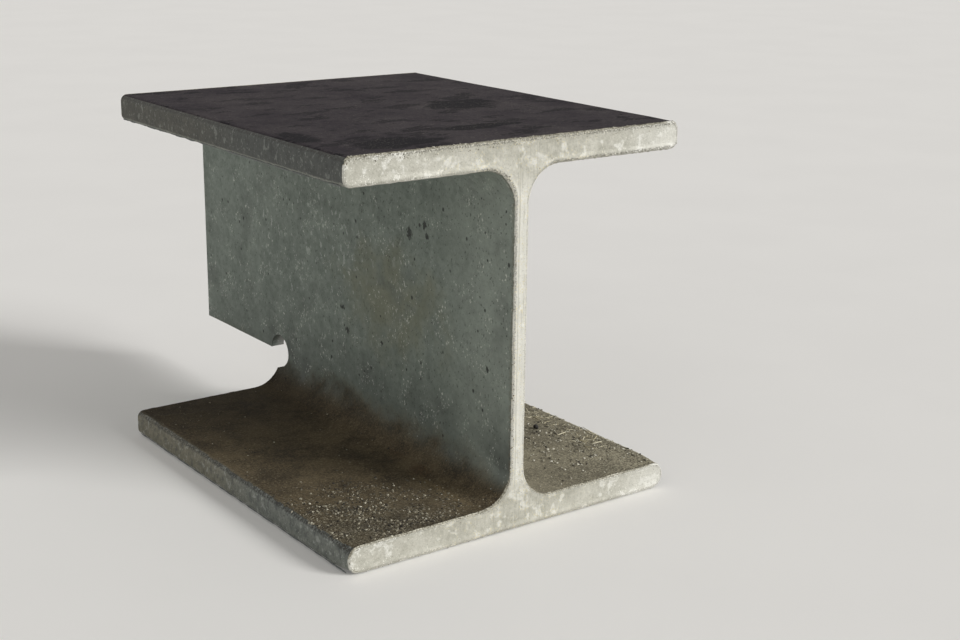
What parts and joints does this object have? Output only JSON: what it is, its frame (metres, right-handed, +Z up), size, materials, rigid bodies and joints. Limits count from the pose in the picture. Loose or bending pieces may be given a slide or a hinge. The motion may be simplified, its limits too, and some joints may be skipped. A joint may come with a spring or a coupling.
{
  "type": "i-beam",
  "caption": "Short wide-flange steel beam, square cut at one end and coped at the other, where the web runs on past the cut-back flanges as a tongue.",
  "frame": {"origin": "centre of the beam's bounding box, on the underside of the bottom flange", "axes": "+X across the flanges, +Y along the beam from the square end to the coped end, +Z up along the web"},
  "size_m": [0.2, 0.332, 0.2],
  "materials": {
    "galvanised_steel": "weathered hot-dip galvanised, matt grey with zinc mottling and dry dirt"
  },
  "bodies": {
    "root": {"i_beam": "galvanised_steel"}
  },
  "joints": []
}
